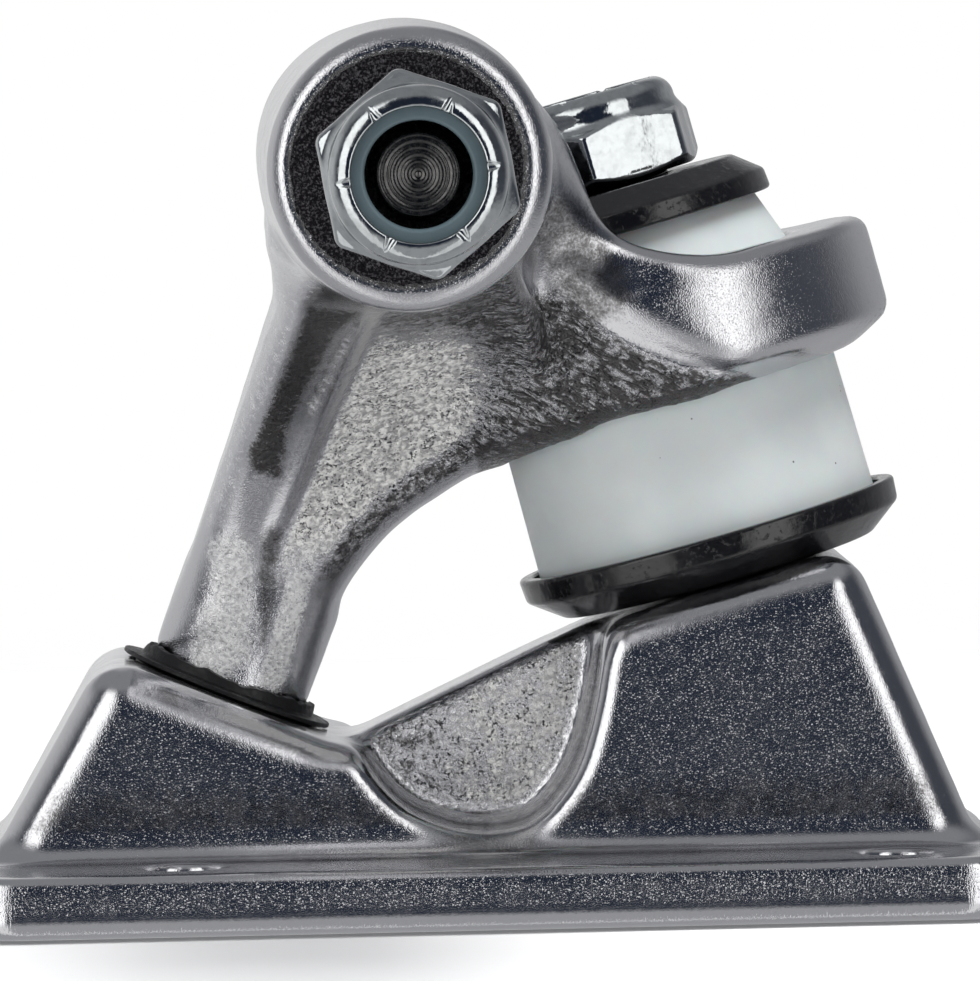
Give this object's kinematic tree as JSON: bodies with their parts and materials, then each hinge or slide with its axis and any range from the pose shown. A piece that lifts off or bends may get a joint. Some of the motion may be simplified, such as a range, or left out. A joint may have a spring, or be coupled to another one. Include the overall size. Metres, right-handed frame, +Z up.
{
  "type": "skateboard truck",
  "caption": "Skateboard truck: cast baseplate and hanger on a pivot cup and bushings, with kingpin, cup washers, steel axle, speed rings and lock nuts.",
  "frame": {"origin": "middle of the baseplate's underside, which rests on the deck's riser or the bench", "axes": "+X along the board from the pivot towards the kingpin, +Y along the axle, +Z up from the baseplate towards the axle"},
  "size_m": [0.0794, 0.2024, 0.0684],
  "materials": {
    "baseplate_casting": "tumbled bright casting",
    "hanger_casting": "tumbled bright casting with satin faces",
    "axle_steel": "dark machined alloy steel",
    "kingpin_steel": "black oxide",
    "black_washer": "semi-gloss black",
    "nut_zinc": "bright zinc plate",
    "ring_zinc": "satin zinc plate",
    "nylon_insert": "smooth blue-grey nylon",
    "bushing_urethane": "cast milky urethane",
    "cup_urethane": "black moulded urethane"
  },
  "bodies": {
    "base": {"baseplate": "baseplate_casting", "pivot_cup": "cup_urethane", "kingpin": "kingpin_steel", "lower_washer": "black_washer", "lower_bushing": "bushing_urethane", "upper_bushing": "bushing_urethane"},
    "hanger": {"hanger": "hanger_casting", "axle": "axle_steel"},
    "upper_washer": {"upper_washer": "black_washer"},
    "kingpin_nut": {"kingpin_nut": "nut_zinc", "kingpin_nut_insert": "nylon_insert"},
    "inner_ring_left": {"inner_speed_ring_left": "ring_zinc"},
    "outer_ring_left": {"outer_speed_ring_left": "ring_zinc"},
    "axle_nut_left": {"axle_nut_left": "nut_zinc", "axle_nut_insert_left": "nylon_insert"},
    "inner_ring_right": {"inner_speed_ring_right": "ring_zinc"},
    "outer_ring_right": {"outer_speed_ring_right": "ring_zinc"},
    "axle_nut_right": {"axle_nut_right": "nut_zinc", "axle_nut_insert_right": "nylon_insert"}
  },
  "joints": [
    {"name": "hanger_lean", "type": "hinge", "parent": "base", "child": "hanger", "pos_m": [-0.02172, 0, 0.01157], "axis": [0.7648, 0, 0.6442], "range_deg": [-15, 15], "stiffness_Nm_per_rad": 40, "deforming": ["lower_bushing", "upper_bushing", "pivot_cup"]},
    {"name": "upper_washer_rise", "type": "slide", "parent": "base", "child": "upper_washer", "axis": [-0.2554, 0, 0.9668], "range_m": [-0.00106, 0.00212]},
    {"name": "kingpin_nut_turn", "type": "hinge", "parent": "upper_washer", "child": "kingpin_nut", "pos_m": [0.00999, 0, 0.05878], "axis": [-0.2554, 0, 0.9668], "range_deg": [-361, 721]},
    {"name": "inner_ring_left_slide", "type": "slide", "parent": "hanger", "child": "inner_ring_left", "axis": [0, 1, 0], "range_m": [0, 0.0214]},
    {"name": "outer_ring_left_slide", "type": "slide", "parent": "hanger", "child": "outer_ring_left", "axis": [0, 1, 0], "range_m": [-0.00635, 0.00423]},
    {"name": "axle_nut_left_turn", "type": "hinge", "parent": "outer_ring_left", "child": "axle_nut_left", "pos_m": [-0.00554, 0.095, 0.0577], "axis": [0, 1, 0], "range_deg": [-2162, 1442]},
    {"name": "inner_ring_right_slide", "type": "slide", "parent": "hanger", "child": "inner_ring_right", "axis": [0, -1, 0], "range_m": [0, 0.0214]},
    {"name": "outer_ring_right_slide", "type": "slide", "parent": "hanger", "child": "outer_ring_right", "axis": [0, -1, 0], "range_m": [-0.00635, 0.00423]},
    {"name": "axle_nut_right_turn", "type": "hinge", "parent": "outer_ring_right", "child": "axle_nut_right", "pos_m": [-0.00554, -0.095, 0.0577], "axis": [0, -1, 0], "range_deg": [-2162, 1442]}
  ],
  "couplings": [
    {"joint": "kingpin_nut_turn", "follows": "upper_washer_rise", "rad_per_m": 5936.9},
    {"joint": "axle_nut_left_turn", "follows": "outer_ring_left_slide", "rad_per_m": 5936.9},
    {"joint": "axle_nut_right_turn", "follows": "outer_ring_right_slide", "rad_per_m": 5936.9}
  ]
}
